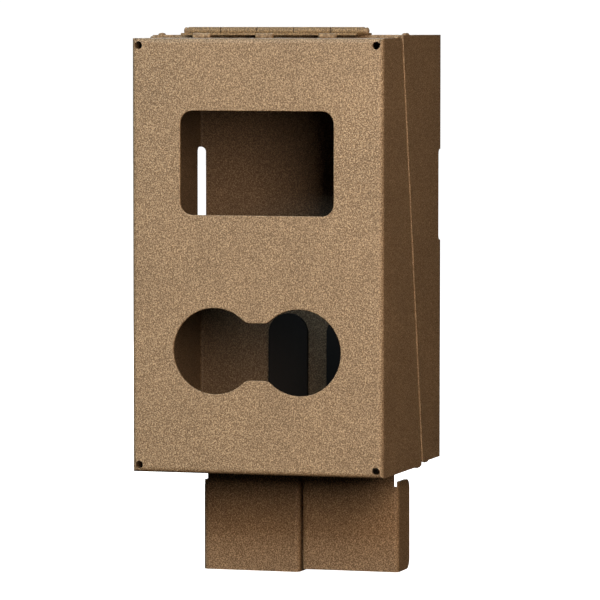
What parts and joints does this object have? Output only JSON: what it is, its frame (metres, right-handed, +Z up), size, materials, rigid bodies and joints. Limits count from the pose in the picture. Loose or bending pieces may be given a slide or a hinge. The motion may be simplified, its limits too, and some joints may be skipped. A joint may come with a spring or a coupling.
{
  "type": "security box for a trail camera",
  "caption": "Folded-steel lockable box that holds a trail camera on a tree: open-windowed cover on a top hinge, strap slots, lock guards below.",
  "frame": {"origin": "middle of the back face, which lies against the tree", "axes": "+Z up, front faces -Y, +X on the right of a person who faces the front"},
  "size_m": [0.126, 0.1043, 0.2681],
  "materials": {
    "powder_coat": "fine-textured bronze-brown powder coat on sheet steel",
    "coated_weld": "weld metal under the same powder coat",
    "pad_rubber": "matt black rubber pad",
    "pin_steel": "drawn steel wire, plain"
  },
  "bodies": {
    "box": {"box_shell": "powder_coat", "hinge_leaf_box": "powder_coat", "hinge_pin": "pin_steel", "hinge_end_welds": "coated_weld", "box_lock_guard": "powder_coat", "camera_pad_left": "pad_rubber", "camera_pad_right": "pad_rubber", "box_hinge_welds": "coated_weld", "box_guard_welds": "coated_weld", "box_corner_welds": "coated_weld"},
    "cover": {"cover_shell": "powder_coat", "hinge_leaf_cover": "powder_coat", "cover_lock_guard": "powder_coat", "cover_hinge_welds": "coated_weld", "cover_guard_welds": "coated_weld", "cover_corner_welds": "coated_weld"}
  },
  "joints": [
    {"name": "cover_hinge", "type": "hinge", "parent": "box", "child": "cover", "pos_m": [0, -0.0721, 0.10595], "axis": [-1, 0, 0], "range_deg": [0, 170]}
  ]
}
